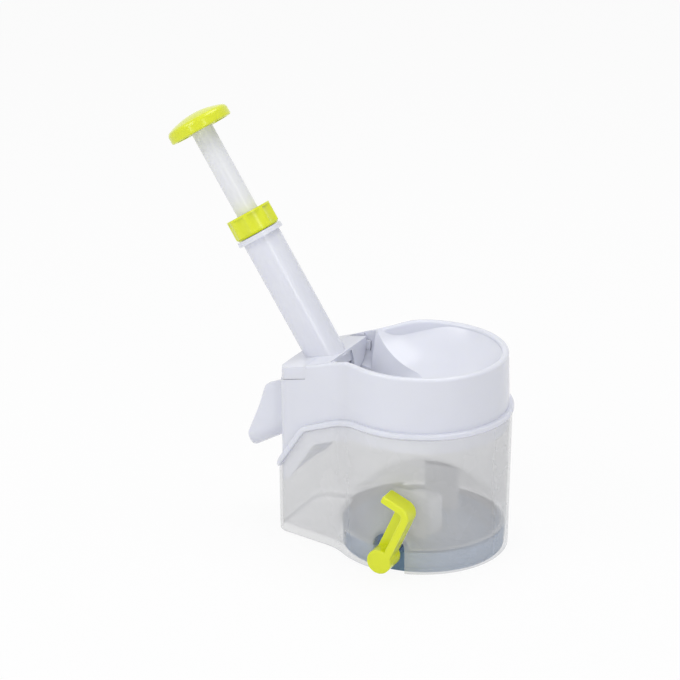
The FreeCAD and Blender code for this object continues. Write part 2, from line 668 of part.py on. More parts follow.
# Lever: hub on the axle, leaning arm, finger tab and a web beside the arm
def make_lever():
    lean = math.radians(dim.lever_lean)
    along = Vector(math.sin(lean), 0, math.cos(lean))
    right = Vector(math.cos(lean), 0, -math.sin(lean))
    hub = Vector(axle_x, 0, dim.axle_z)

    def point(up, side):
        place = hub + along * up + right * side
        return place.x, place.z

    inner = dim.arm_outer - dim.arm_thickness
    tight = max(0.5, dim.bend_radius - dim.arm_thickness)
    tab_in = dim.arm_outer - dim.tab_length
    arm = side_slab([
        (*point(0, inner), 0), (*point(0, dim.arm_outer), 0),
        (*point(dim.arm_length, dim.arm_outer), dim.bend_radius),
        (*point(dim.arm_length, tab_in), 1.2),
        (*point(dim.arm_length - dim.arm_thickness, tab_in), 1.2),
        (*point(dim.arm_length - dim.arm_thickness, inner), tight)],
        dim.hub_front, dim.hub_front + dim.arm_depth)
    web_edge = inner - dim.web_width
    web_top = dim.arm_length - dim.arm_thickness / 2
    web = side_slab([
        (*point(0, web_edge), 0), (*point(0, inner + 1.0), 0), (*point(web_top, inner + 1.0), 0),
        (*point(web_top, web_edge), 0)],
        dim.hub_front + dim.arm_depth - dim.web_depth, dim.hub_front + dim.arm_depth)
    boss = cylinder(dim.hub_radius, Vector(hub.x, dim.hub_front, hub.z), Vector(0, 1, 0),
                    dim.hub_length)
    arm = arm.makeFillet(dim.lever_round, [edge for edge in arm.Edges
                                           if edge.BoundBox.YLength < 1e-3])
    boss = boss.makeFillet(dim.lever_round, [edge for edge in boss.Edges
                                             if edge.BoundBox.YMax < dim.hub_front + 1e-3])
    solid = arm.fuse([web, boss]).removeSplitter()
    bore_end = dim.hub_front + dim.hub_length + 1.0
    bore = cylinder(dim.axle_radius + dim.running_gap,
                    Vector(hub.x, dim.axle_start - dim.fit_gap, hub.z), Vector(0, 1, 0),
                    bore_end - dim.axle_start)
    return solid.cut(bore)


# Hopper lid: upper wall, bowl, feed trough, seat socket, gate and chute in one moulding
def u_section(x, half, corner, bottom, top):
    """An upright U face across the neck at x."""
    corners = [(Vector(x, -half, top), 0), (Vector(x, -half, bottom), corner),
               (Vector(x, half, bottom), corner), (Vector(x, half, top), 0)]
    return Part.Face(rounded_wire(corners))


def end_wall():
    """Outer face of the hopper's end wall along X."""
    return -dim.neck_reach - skirt_grow(dim.shoulder_height)


def ramp_slope():
    """Rise over run of the ramp from the end wall to the seat's near edge."""
    edge = seat_centre - slope_up * dim.trough_end
    return (edge.z - dim.chute_sill) / (edge.x - end_wall())


def channel(grow, height, start_x, end_x, slope):
    """A U-channel of sheared section from start_x to end_x, through the sill point."""
    bottom = dim.chute_sill + slope * (start_x - end_wall()) - grow
    face = u_section(start_x, dim.chute_half_width + grow, dim.chute_corner + grow,
                     bottom, bottom + height + grow)
    run = end_x - start_x
    return face.extrude(Vector(run, 0, slope * run))


def trough(grow):
    """A flared trough square to the barrel, whose floor runs through the seat's centre."""
    flare = math.radians(dim.trough_flare)
    origin = seat_centre - slope_up * (dim.trough_end + grow)

    def corner(side, height):
        half = dim.trough_floor + grow / math.cos(flare) + height * math.tan(flare)
        return origin + Vector(0, side * half, 0) + barrel_up * height

    corners = [(corner(-1, dim.trough_height), 0), (corner(-1, -grow), dim.trough_corner + grow),
               (corner(1, -grow), dim.trough_corner + grow), (corner(1, dim.trough_height), 0)]
    return Part.Face(rounded_wire(corners)).extrude(slope_up * dim.trough_length)


def gate(grow, x_low, x_high, top):
    """The passage between bowl and neck, whose lower corners are rounded."""
    half = dim.gate_half_width + grow
    low = dim.gate_floor - grow
    corners = [(Vector(x_low, -half, top), 0), (Vector(x_low, -half, low), dim.gate_corner + grow),
               (Vector(x_low, half, low), dim.gate_corner + grow), (Vector(x_low, half, top), 0)]
    return Part.Face(rounded_wire(corners)).extrude(Vector(x_high - x_low, 0, 0))


def bowl_form(grow):
    """The dished bowl, drawn out towards the neck."""
    rise = math.sqrt(dim.bowl_radius**2 - (dim.bowl_mouth + dim.bowl_flare)**2)
    centre = Vector(0, 0, dim.rim_height + rise)
    drawn = centre - Vector(dim.bowl_draw, 0, 0)
    radius = dim.bowl_radius + grow
    return Part.makeSphere(radius, centre).fuse([
        Part.makeSphere(radius, drawn), cylinder(radius, drawn, Vector(1, 0, 0), dim.bowl_draw)])


def cover_line(x):
    """Height of the parting line between cover and hopper."""
    return dim.cover_edge_z + math.tan(math.radians(dim.cover_slope)) * (x - dim.cover_edge_x)


def above_cover_line(x_high, shift):
    """Everything over the cover's parting line on the neck's side of x_high."""
    return side_slab([(x_high, cover_line(x_high) + shift, 0), (x_high, far, 0), (-far, far, 0),
                      (-far, cover_line(-far) + shift, 0)], -wide, wide)


def rim_outline(drop, neck_z):
    """Everything below the rim, lowered by drop; beyond the gate the top is neck_z."""
    fall = (dim.rim_height - dim.rim_end_z) / (dim.rim_bend_x - dim.cover_edge_x)
    gate_z = dim.rim_end_z + fall * (dim.gate_left - dim.cover_edge_x)
    corners = [(far, -50, 0), (far, dim.rim_height - drop, 0),
               (dim.rim_bend_x, dim.rim_height - drop, dim.rim_bend_radius)]
    if neck_z is None:
        corners.append((-far, dim.rim_end_z - drop - fall * (far + dim.cover_edge_x), 0))
    else:
        corners += [(dim.gate_left, gate_z - drop, 0), (dim.gate_left, neck_z, 0), (-far, neck_z, 0)]
    corners.append((-far, -50, 0))
    return corners


def latch_box(side, shift, low):
    """The latch pocket in the side wall beside the tongue."""
    x_low = dim.gate_left + 0.8 + shift
    y_in = dim.gate_half_width - 1.0
    y_out = dim.gate_half_width + dim.latch_depth - shift
    box = Part.makeBox(dim.latch_width - 2 * shift, y_out - y_in, 30.0,
                       Vector(x_low, y_in, low))
    return box if side > 0 else box.mirror(Vector(0, 0, 0), Vector(0, 1, 0))


def upper_grow(z):
    """Outer wall of the hopper above its shoulder, leaning in towards the rim."""
    share = (z - dim.shoulder_height) / (dim.rim_height - dim.shoulder_height)
    return skirt_grow(dim.shoulder_height) - dim.rim_lean * share


def long_arcs(body, height):
    """The arcs round the round end that lie at this height."""
    return [edge for edge in body.Edges if abs(edge.BoundBox.ZMin - height) < 1e-3
            and abs(edge.BoundBox.ZMax - height) < 1e-3 and edge.Length > 3 * dim.bowl_mouth]


def make_hopper():
    wall = dim.lid_wall
    shoulder, top, low = dim.shoulder_height, dim.rim_height + 2.0, 20.0
    skirt = keyhole_prism(skirt_grow(low), low, skirt_grow(shoulder), shoulder)
    skirt = skirt.cut(below_lip(-dim.skirt_depth))
    upper = keyhole_prism(skirt_grow(shoulder), shoulder, upper_grow(top), top)
    outside = skirt.fuse(upper).common(side_slab(rim_outline(0, None), -wide, wide))
    outside = outside.cut(above_cover_line(dim.cover_edge_x, 0))
    rim_width = dim.round_radius + upper_grow(dim.rim_height) - dim.bowl_mouth
    bowl = bowl_form(0).common(keyhole_prism(upper_grow(shoulder) - rim_width, shoulder - 20.0,
                                             upper_grow(top) - rim_width, top))
    outside = outside.cut(bowl).removeSplitter()
    outside = outside.makeFillet(dim.rim_round, long_arcs(outside, dim.rim_height))
    bead = keyhole_prism(dim.bead_proud, low, dim.bead_proud, shoulder)
    bead = bead.common(below_lip(dim.bead_height)).cut(below_lip(0))
    bead = bead.makeFillet(dim.bead_round, long_arcs(bead, dim.lip_height)
                           + long_arcs(bead, dim.lip_height + dim.bead_height))
    outside = outside.fuse(bead)

    inner_low = keyhole_prism(skirt_grow(low) - wall, low - 1, skirt_grow(shoulder) - wall, shoulder)
    inner_up = keyhole_prism(skirt_grow(shoulder) - wall, shoulder, upper_grow(top) - wall, top + 10)
    inside = inner_low.fuse(inner_up)
    roofless = side_slab(rim_outline(wall + 0.4, far), -wide, wide)
    hollow = inside.common(roofless)
    ledge = gate(wall, dim.gate_left, dim.gate_right + wall, far)
    slope = ramp_slope()
    head = 80.0
    face_x = end_wall()
    ramp = channel(dim.chute_wall, head, seat_centre.x - 4.0, face_x, slope)
    socket = cylinder(dim.socket_radius, seat_centre + barrel_up * 2.0, barrel_up * -1,
                      2.0 + dim.socket_depth)
    chute_walls = [bowl_form(wall), trough(wall), ramp, socket]
    hollow = hollow.cut([ledge] + chute_walls)
    body = outside.cut(hollow)

    fall = math.tan(math.radians(dim.chute_slope))
    root_x = face_x + wall / 2
    spout = channel(dim.chute_wall, head, root_x, face_x - 40.0, fall)
    side_view = side_slab([
        (root_x, dim.spout_top_z, 0), (dim.spout_brow_x, dim.spout_brow_z, 6.0),
        (dim.spout_waist_x, dim.spout_waist_z, 40.0), (dim.spout_tip_x, dim.spout_tip_z, 5.0),
        (dim.spout_tip_x + 2.5, 30.0, 0), (root_x, 30.0, 0)], -wide, wide)
    body = body.fuse(spout.common(side_view))

    tall_ramp = channel(0, head, seat_centre.x - 4.0, face_x + wall, slope)
    door = channel(0, dim.chute_head, face_x + 2 * wall, face_x, slope)
    spout_in = channel(0, head, face_x, face_x - 50.0, fall)
    passage = gate(0, dim.gate_left, dim.gate_right, far)
    hole = cylinder(dim.seat_hole, seat_centre + barrel_up * 3.0, barrel_up * -1, 12.0)
    counterbore = cylinder(dim.socket_bore, seat_centre - barrel_up * wall, barrel_up * -1, 20.0)
    neck_top = inside.common(above_cover_line(dim.gate_left, -dim.cover_hook - dim.cover_gap))
    cuts = [trough(0).common(inside), tall_ramp, door, spout_in,
            passage, hole, counterbore, neck_top,
            latch_box(1, 0, dim.latch_low), latch_box(-1, 0, dim.latch_low)]
    return body.cut(cuts).removeSplitter()


# Barrel cover: saddle over the neck, hanging tongue and the slanted barrel
def make_barrel_cover():
    wall, gap = dim.lid_wall, dim.cover_gap
    shoulder, top = dim.shoulder_height, dim.rim_height + 10.0
    plate = keyhole_prism(skirt_grow(shoulder), shoulder - 12.0, upper_grow(top), top)
    band = above_cover_line(dim.cover_edge_x - gap / 2, gap).cut(
        above_cover_line(dim.cover_edge_x + 1.0, dim.cover_thickness))
    plate = plate.common(band)
    inset = wall + gap
    tongue_x = dim.gate_left + gap
    insert = keyhole_prism(skirt_grow(shoulder) - inset, shoulder - 12.0,
                           upper_grow(top) - inset, top)
    crest = cover_line(dim.cover_edge_x) + dim.cover_thickness
    band = side_slab([
        (tongue_x + 1.0, cover_line(tongue_x) - dim.cover_hook, 0), (tongue_x + 1.0, crest + 0.8, 0),
        (dim.cover_edge_x, crest, 12.0), (-far, cover_line(-far) + dim.cover_thickness, 0),
        (-far, cover_line(-far) - dim.cover_hook, 0)], -wide, wide)
    beside_gate = Part.makeBox(far, 2 * wide, 2 * far, Vector(dim.gate_left - gap - far, -wide, 0))
    in_gate = gate(-2 * gap, dim.gate_left - gap, tongue_x + 1.0, far)
    insert = insert.common(band).common(beside_gate.fuse(in_gate))
    solid = plate.fuse(insert)
    skirt_in = inset + dim.cover_skirt
    room = keyhole_prism(skirt_grow(shoulder) - skirt_in, shoulder - 30.0,
                         upper_grow(top) - skirt_in, top)
    under = side_slab([
        (tongue_x, 20.0, 0), (tongue_x, crest + 0.8 - dim.cover_plate, 0),
        (dim.cover_edge_x, crest - dim.cover_plate, 12.0),
        (-far, cover_line(-far) + dim.cover_thickness - dim.cover_plate, 0), (-far, 20.0, 0)],
        -wide, wide)
    solid = solid.cut(room.common(under))
    tongue = gate(-gap - 0.2, tongue_x, tongue_x + dim.tongue_thickness, crest + 0.8)
    way = cylinder(dim.tongue_way, barrel_foot - barrel_up * dim.barrel_below, barrel_up * -1, 60.0)
    solid = solid.fuse(tongue.cut(way))
    for side in (1, -1):
        tab = latch_box(side, dim.latch_gap, dim.latch_low + dim.latch_gap)
        tab = tab.common(Part.makeBox(20, 2 * wide, 6.0, Vector(tongue_x, -wide, dim.latch_low)))
        solid = solid.fuse(tab)
    foot = barrel_foot - barrel_up * dim.barrel_below
    height = dim.barrel_height + dim.barrel_below
    tube = cylinder(dim.barrel_radius, foot, barrel_up, height)
    flange = cylinder(dim.flange_radius, barrel_foot + barrel_up * (
        dim.barrel_height - dim.flange_thickness), barrel_up, dim.flange_thickness)
    spigot = cylinder(dim.spigot_radius, foot, barrel_up, height + dim.spigot_height)
    solid = solid.fuse([tube, flange, spigot]).removeSplitter()
    bore = cylinder(dim.barrel_bore, foot + barrel_up * dim.barrel_sill, barrel_up, 2 * height)
    mouth = cylinder(dim.sill_bore, foot - barrel_up * 5.0, barrel_up, 20.0)
    return solid.cut([bore, mouth])


# Turned pieces on the barrel's axis
def make_collar_nut():
    body = new_body("collar_nut", on_barrel)
    bore = "spigot_radius + collar_gap"
    top = "barrel_height + collar_height"
    turned = revolve(body, [
        (bore, "barrel_height + collar_gap"),
        ("collar_radius - collar_chamfer", "barrel_height + collar_gap"),
        ("collar_radius", "barrel_height + collar_gap + collar_chamfer"),
        ("collar_radius", top), ("rod_radius + collar_gap", top),
        ("rod_radius + collar_gap", top + " - collar_roof"), (bore, top + " - collar_roof")])
    sketch = new_sketch(body, "flute", "XY_Plane", top + " - collar_roof / 2")
    draw_circle(sketch, "flute_radius", "collar_radius + flute_radius - flute_depth")
    flute = pocket(body, sketch, "collar_height - collar_roof - collar_gap")
    ring = polar(body, flute, "flute_count")
    return turned, ring


def make_guide_bush():
    body = new_body("guide_bush", on_barrel)
    seat = "barrel_height + spigot_height"
    bore = "rod_radius + running_gap"
    revolve(body, [
        (bore, seat + " - bush_length"), ("barrel_bore - running_gap", seat + " - bush_length"),
        ("barrel_bore - running_gap", seat + " + running_gap"),
        ("spigot_radius", seat + " + running_gap"), ("spigot_radius", seat + " + bush_flange"),
        (bore, seat + " + bush_flange")])


PISTON_TOP = "(barrel_height + spigot_height - bush_length - carrier_rest_gap)"
KNOB_LOW = "(barrel_height + collar_height + rod_showing)"


def make_plunger_tube():
    body = new_body("plunger_tube", on_barrel)
    top = KNOB_LOW + " + knob_socket"
    tube = revolve(body, [
        ("rod_bore", PISTON_TOP + " + running_gap"), ("rod_radius", PISTON_TOP + " + running_gap"),
        ("rod_radius", top), ("rod_bore", top)])
    return tube


def make_palm_knob():
    body = new_body("palm_knob", on_barrel)
    socket = "rod_radius + running_gap"
    top = KNOB_LOW + " + knob_side"
    deep = KNOB_LOW + " + knob_socket + running_gap"
    turned = revolve(body, [
        (socket, KNOB_LOW), ("knob_boss", KNOB_LOW), ("knob_boss", top + " - knob_shell / 4"),
        ("knob_radius - knob_shell", top + " - knob_shell / 2"),
        ("knob_radius - knob_shell", KNOB_LOW), ("knob_radius", KNOB_LOW), ("knob_radius", top),
        ("0", top + " + knob_crown"), ("0", deep), (socket, deep)], crown=6)
    low = collar_top + dim.rod_showing
    crowned = round_edges(body, turned, "knob_edge", ring_at(dim.knob_radius, low + dim.knob_side))
    return round_edges(body, crowned, "knob_shell / 3", ring_at(dim.knob_radius, low))


def make_pin_carrier():
    body = new_body("pin_carrier", on_barrel)
    outer = "barrel_bore - carrier_gap"
    low = PISTON_TOP + " - carrier_length"
    shank = "pin_radius * 0.7 + running_gap"
    revolve(body, [
        (shank, low), (outer, low), (outer, PISTON_TOP), ("rod_bore - running_gap", PISTON_TOP),
        ("rod_bore - running_gap", PISTON_TOP + " + carrier_spigot"),
        ("0", PISTON_TOP + " + carrier_spigot"), ("0", low + " + pin_shank + running_gap"),
        (shank, low + " + pin_shank + running_gap")])
    sketch = new_sketch(body, "cross_hole", "XZ_Plane")
    draw_circle(sketch, "cross_pin_radius + running_gap", "0", low + " + carrier_length / 2")
    pocket(body, sketch, "barrel_bore * 3", midplane=True)


def make_pitting_pin():
    body = new_body("pitting_pin", on_barrel)
    low = PISTON_TOP + " - carrier_length"
    shank = "pin_radius * 0.7"
    revolve(body, [
        ("0", "-pin_tip"), ("pin_radius * 0.85", "-pin_tip"),
        ("pin_radius", "-pin_tip + pin_radius / 2"), ("pin_radius", low + " - running_gap"),
        (shank, low + " - running_gap"), (shank, low + " + pin_shank"), ("0", low + " + pin_shank")])
    for turn, name in ((0, "x"), (1, "y")):
        sketch = new_sketch(body, "crown_" + name, "XY_Plane", "-pin_tip + crown_depth")
        half, reach = "crown_slot / 2", "pin_radius * 2"
        corners = [("-" + half, "-" + reach), (half, "-" + reach), (half, reach), ("-" + half, reach)]
        if turn:
            corners = [(y, x) for x, y in reversed(corners)]
        draw_polygon(sketch, corners)
        pocket(body, sketch, "crown_depth * 2")
    sketch = new_sketch(body, "cross_hole", "XZ_Plane")
    draw_circle(sketch, "cross_pin_radius + running_gap", "0", low + " + carrier_length / 2")
    pocket(body, sketch, "barrel_bore * 3", midplane=True)


def make_cross_pin():
    body = new_body("cross_pin", on_barrel)
    sketch = new_sketch(body, "section", "XZ_Plane")
    draw_circle(sketch, "cross_pin_radius", "0", PISTON_TOP + " - carrier_length / 2")
    pad(body, sketch, "(barrel_bore - carrier_gap) * 1.9", midplane=True)


def make_stripper():
    body = new_body("stripper", on_barrel)
    low = "(-barrel_below + barrel_sill + running_gap)"
    revolve(body, [
        ("pin_radius + stripper_gap", low), ("barrel_bore - running_gap", low),
        ("barrel_bore - running_gap", low + " + stripper_thickness"),
        ("pin_radius + stripper_gap", low + " + stripper_thickness")])


def make_spring_washer():
    body = new_body("spring_washer", on_barrel)
    low = "(-barrel_below + barrel_sill + running_gap * 2 + stripper_thickness)"
    revolve(body, [
        ("washer_bore", low), ("barrel_bore - carrier_gap", low),
        ("barrel_bore - carrier_gap", low + " + washer_thickness"),
        ("washer_bore", low + " + washer_thickness")])


def make_return_spring():
    """One unbroken wire: a helix of quarter turns, each on an arc, with closed end turns."""
    low = (-dim.barrel_below + dim.barrel_sill + 2 * dim.running_gap + dim.stripper_thickness
           + dim.washer_thickness)
    high = (dim.barrel_height + dim.spigot_height - dim.bush_length - dim.carrier_rest_gap
            - dim.carrier_length)
    wire_r, mean = dim.spring_wire, dim.spring_radius
    low += wire_r + dim.running_gap
    high -= wire_r + dim.running_gap
    turns = int(dim.spring_turns)
    close = 3.2 * wire_r
    steps_per_turn = 8
    total = (turns + 2) * steps_per_turn
    open_rise = (high - low - 2 * close) / turns

    def height(step):
        turn = step / steps_per_turn
        if turn <= 1:
            return low + close * turn
        if turn >= turns + 1:
            return high - close * (turns + 2 - turn)
        return low + close + open_rise * (turn - 1)

    def place(step):
        angle = math.tau * step / steps_per_turn
        return Vector(mean * math.cos(angle), mean * math.sin(angle), height(step))

    edges = []
    for step in range(0, total, 2):
        edges.append(Part.Arc(place(step), place(step + 1), place(step + 2)).toShape())
    path = Part.Wire(edges)
    start = place(0)
    tangent = edges[0].tangentAt(edges[0].FirstParameter)
    ring = Part.Wire(Part.makeCircle(wire_r, start, tangent))
    spring = path.makePipeShell([ring], True, False)
    samples = [place(i / 4.0) for i in range(0, 4 * total)]
    least = min((samples[i] - samples[j]).Length for i in range(0, len(samples), 3)
                for j in range(i + 20, len(samples), 3)) - 2 * wire_r
    print("return spring: least gap between turns %.2f mm" % least)
    length = path.Length
    print("return spring: volume %.1f, section times length %.1f mm3"
          % (spring.Volume, math.pi * wire_r**2 * length))
    return spring


# Silicone seat and its retainer, under the hole in the trough's floor
def make_cherry_seat():
    body = new_body("cherry_seat", on_barrel)
    top = "(-seat_depth - lid_wall - running_gap)"
    cup = "(-seat_depth - gasket_lip)"
    revolve(body, [
        ("gasket_hole", top + " - gasket_thickness"),
        ("socket_bore - fit_gap", top + " - gasket_thickness"), ("socket_bore - fit_gap", top),
        ("seat_hole - fit_gap", top), ("seat_hole - fit_gap", "-seat_depth"),
        ("seat_hole - fit_gap - gasket_lip", "-seat_depth"),
        ("gasket_hole", cup + " - gasket_lip")])
    sketch = new_sketch(body, "slit", "XY_Plane", "-seat_depth + gasket_lip")
    draw_polygon(sketch, [("gasket_hole / 2", "-slit_width / 2"), ("slit_reach", "-slit_width / 2"),
                          ("slit_reach", "slit_width / 2"), ("gasket_hole / 2", "slit_width / 2")])
    slit = pocket(body, sketch, "seat_depth")
    polar(body, slit, "slit_count")


def make_seat_retainer():
    body = new_body("seat_retainer", on_barrel)
    top = "(-seat_depth - lid_wall - gasket_thickness - running_gap * 2)"
    outer = "socket_bore - fit_gap"
    turned = revolve(body, [
        ("ring_bore", top + " - ring_height"), (outer, top + " - ring_height"), (outer, top),
        ("ring_bore", top)])
    low = -dim.seat_depth - dim.lid_wall - dim.gasket_thickness - dim.running_gap * 2
    low -= dim.ring_height
    round_edges(body, turned, "ring_height / 5", ring_at(dim.ring_bore, low), "Chamfer")


add_shape("container", make_container())
make_suction_disc()
make_suction_post()
make_cam_axle()
make_retaining_clip()
add_shape("lever", make_lever())
add_shape("hopper_body", make_hopper())
make_cherry_seat()
make_seat_retainer()
add_shape("barrel_cover", make_barrel_cover())
make_stripper()
make_spring_washer()
add_shape("return_spring", make_return_spring(), on_barrel)
make_guide_bush()
make_collar_nut()
make_pin_carrier()
make_pitting_pin()
make_cross_pin()
make_plunger_tube()
make_palm_knob()
doc.recompute()

# Every object is checked before anything is written
for item in doc.Objects:
    if "Invalid" in item.State or "Error" in item.State:
        raise RuntimeError("%s: %s" % (item.Label, item.State))
os.makedirs("parts", exist_ok=True)
for item in parts:
    shape = item.Shape
    if shape.isNull() or not shape.isValid() or not shape.Solids:
        raise RuntimeError("bad shape: " + item.Label)
for item in parts:
    item.Shape.exportStep("parts/%s.step" % item.Label)
    box = item.Shape.BoundBox
    print("%-15s solids %d volume %9.1f  x %7.1f %7.1f  y %6.1f %6.1f  z %6.1f %6.1f" % (
        item.Label, len(item.Shape.Solids), item.Shape.Volume, box.XMin, box.XMax,
        box.YMin, box.YMax, box.ZMin, box.ZMax))
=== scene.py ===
import math

import bpy
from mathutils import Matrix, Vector


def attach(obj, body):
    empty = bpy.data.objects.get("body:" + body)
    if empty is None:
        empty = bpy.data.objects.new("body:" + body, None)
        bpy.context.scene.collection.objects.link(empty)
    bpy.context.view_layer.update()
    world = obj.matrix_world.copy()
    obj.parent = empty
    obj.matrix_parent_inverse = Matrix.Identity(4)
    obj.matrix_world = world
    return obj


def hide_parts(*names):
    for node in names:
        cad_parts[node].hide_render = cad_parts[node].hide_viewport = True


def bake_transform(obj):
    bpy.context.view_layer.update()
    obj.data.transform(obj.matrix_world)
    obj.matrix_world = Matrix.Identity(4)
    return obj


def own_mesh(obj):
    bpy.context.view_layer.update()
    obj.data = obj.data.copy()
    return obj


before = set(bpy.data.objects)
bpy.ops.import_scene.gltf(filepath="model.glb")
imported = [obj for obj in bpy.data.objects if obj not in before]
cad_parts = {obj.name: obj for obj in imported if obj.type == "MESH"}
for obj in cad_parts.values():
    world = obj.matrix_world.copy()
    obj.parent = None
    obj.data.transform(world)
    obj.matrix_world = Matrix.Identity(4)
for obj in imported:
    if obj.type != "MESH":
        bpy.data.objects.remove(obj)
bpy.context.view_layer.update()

# Camera at the photograph's viewpoint, in metres and degrees
CAMERA_AZIMUTH = 26.58
CAMERA_ELEVATION = 20.63
CAMERA_DISTANCE = 1.45728
CAMERA_TARGET = Vector((-0.05273, 0.0, 0.11413))
CAMERA_LENS_MM = 133.33
CAMERA_SENSOR_MM = 36.0

# Stage: the floor's half side and drop in metres, and how bright floor and world are
FLOOR_HALF = 3.0
FLOOR_DROP = 0.0002
FLOOR_COLOUR = (0.9, 0.9, 0.91, 1.0)
FLOOR_SHOWN_WHITE = 0.92
WORLD_LIGHT = 0.42
WORLD_SHOWN = 1.0
WHITE = (1.0, 1.0, 1.0, 1.0)

# Lamps: place, width and height in metres, and watts; all point at LIT_MIDDLE
LIT_MIDDLE = (-0.03, 0.0, 0.10)
LAMPS = {
    "key": ((-0.75, -0.95, 1.05), (0.7, 0.7), 5.6),
    "top": ((0.10, 0.25, 1.30), (0.8, 0.8), 5.8),
    "fill": ((1.10, -0.75, 0.45), (0.7, 0.9), 2.2),
    "strip_left": ((-0.16, -1.48, 0.62), (0.16, 0.85), 2.0),
    "strip_right": ((1.02, -1.04, 0.62), (0.16, 0.85), 2.0),
}

# Colours, linear
SHELL_COLOUR = (0.76, 0.775, 0.85, 1.0)
TUBE_COLOUR = (0.80, 0.81, 0.85, 1.0)
LIME_COLOUR = (0.74, 0.80, 0.02, 1.0)
BIN_COLOUR = (0.74, 0.745, 0.76, 1.0)
RUBBER_COLOUR = (0.15, 0.25, 0.40, 1.0)
POST_COLOUR = (0.84, 0.85, 0.87, 1.0)
STEEL_COLOUR = (0.62, 0.63, 0.65, 1.0)
SILICONE_COLOUR = (0.60, 0.63, 0.70, 1.0)
INNER_COLOUR = (0.72, 0.73, 0.76, 1.0)

# Milky bin: the opacity of one face of its wall, dome and bearing walls
BIN_OPACITY = 0.33
DOME_OPACITY = 0.09
BEARING_OPACITY = 0.7
LIGHT_LET_IN = 0.9
DOME_RADIUS = 0.0462
DOME_EDGE = 0.0012
# Middle and half width of the space that the bearing walls fill, along x, |y| and z
BEARING_SPACE = ((0.0032, 0.0108), (0.022, 0.0025), (0.019, 0.019))

# Where most of a noise texture's values lie
NOISE_LOW = 0.3
NOISE_HIGH = 0.7


def aim(obj, target):
    """Turns an object so that its -Z axis points at the target."""
    obj.rotation_mode = "QUATERNION"
    obj.rotation_quaternion = (Vector(target) - obj.location).to_track_quat("-Z", "Y")


def make_camera():
    azimuth = math.radians(CAMERA_AZIMUTH)
    elevation = math.radians(CAMERA_ELEVATION)
    back = Vector((math.sin(azimuth) * math.cos(elevation),
                   -math.cos(azimuth) * math.cos(elevation), math.sin(elevation)))
    data = bpy.data.cameras.new("camera")
    data.lens = CAMERA_LENS_MM
    data.sensor_width = CAMERA_SENSOR_MM
    data.clip_start = 0.01
    data.clip_end = 50.0
    camera = bpy.data.objects.new("camera", data)
    bpy.context.scene.collection.objects.link(camera)
    camera.location = CAMERA_TARGET + back * CAMERA_DISTANCE
    aim(camera, CAMERA_TARGET)
    bpy.context.scene.camera = camera


# Node helpers

def new_material(name):
    material = bpy.data.materials.new(name)
    material.use_nodes = True
    tree = material.node_tree
    return material, tree, tree.nodes["Principled BSDF"]


def noise(tree, scale, detail=2.0, roughness=0.5, stretch=(1.0, 1.0, 1.0)):
    """Noise in the object's own coordinates; scale is in features per metre."""
    coords = tree.nodes.new("ShaderNodeTexCoord")
    mapping = tree.nodes.new("ShaderNodeMapping")
    mapping.inputs["Scale"].default_value = stretch
    texture = tree.nodes.new("ShaderNodeTexNoise")
    texture.inputs["Scale"].default_value = scale
    texture.inputs["Detail"].default_value = detail
    texture.inputs["Roughness"].default_value = roughness
    tree.links.new(coords.outputs["Object"], mapping.inputs["Vector"])
    tree.links.new(mapping.outputs["Vector"], texture.inputs["Vector"])
    return texture.outputs["Fac"]


def remap(tree, value, low, high):
    """The noise value spread over low to high."""
    node = tree.nodes.new("ShaderNodeMapRange")
    node.inputs["From Min"].default_value = NOISE_LOW
    node.inputs["From Max"].default_value = NOISE_HIGH
    node.inputs["To Min"].default_value = low
    node.inputs["To Max"].default_value = high
    tree.links.new(value, node.inputs["Value"])
    return node.outputs["Result"]


def tinted(tree, value, colour, spread):
    """The colour, made lighter and darker by spread as value changes."""
    ramp = tree.nodes.new("ShaderNodeValToRGB")
    dark = tuple(c * (1 - spread) for c in colour[:3]) + (1.0,)
    light = tuple(min(1.0, c * (1 + spread)) for c in colour[:3]) + (1.0,)
    first, last = ramp.color_ramp.elements
    first.position, first.color = NOISE_LOW, dark
    last.position, last.color = NOISE_HIGH, light
    tree.links.new(value, ramp.inputs["Fac"])
    return ramp.outputs["Color"]


def bump(tree, shader, height, distance):
    """Raises the surface by up to distance, in metres, where height is high."""
    node = tree.nodes.new("ShaderNodeBump")
    node.inputs["Strength"].default_value = 1.0
    node.inputs["Distance"].default_value = distance
    tree.links.new(height, node.inputs["Height"])
    tree.links.new(node.outputs["Normal"], shader.inputs["Normal"])


def skin(tree, shader, colour, spread, patches, gloss, rough, grain, depth):
    """Colour patches, uneven gloss and a fine grain.

    patches, gloss and grain are each a noise's scale and detail, rough the lowest and
    highest roughness, and depth the grain's height in metres.
    """
    tree.links.new(tinted(tree, noise(tree, *patches), colour, spread),
                   shader.inputs["Base Color"])
    tree.links.new(remap(tree, noise(tree, *gloss), *rough), shader.inputs["Roughness"])
    bump(tree, shader, noise(tree, *grain), depth)


def scatter(shader, weight, radius, scale):
    """Light that enters the surface and leaves it nearby."""
    shader.inputs["Subsurface Weight"].default_value = weight
    shader.inputs["Subsurface Radius"].default_value = radius
    shader.inputs["Subsurface Scale"].default_value = scale


def combine(tree, operation, first, second):
    """The result of a Math node on two values."""
    node = tree.nodes.new("ShaderNodeMath")
    node.operation = operation
    tree.links.new(first, node.inputs[0])
    tree.links.new(second, node.inputs[1])
    return node.outputs[0]


def any_ray(tree, *kinds):
    """1 for a ray of one of these kinds, and 0 for the others."""
    path = tree.nodes.new("ShaderNodeLightPath")
    total = path.outputs[kinds[0]]
    for kind in kinds[1:]:
        total = combine(tree, "MAXIMUM", total, path.outputs[kind])
    return total


def within(tree, value, middle, half):
    """1 where the value is no further than half from the middle, and 0 elsewhere."""
    node = tree.nodes.new("ShaderNodeMath")
    node.operation = "COMPARE"
    node.inputs[1].default_value = middle
    node.inputs[2].default_value = half
    tree.links.new(value, node.inputs[0])
    return node.outputs[0]


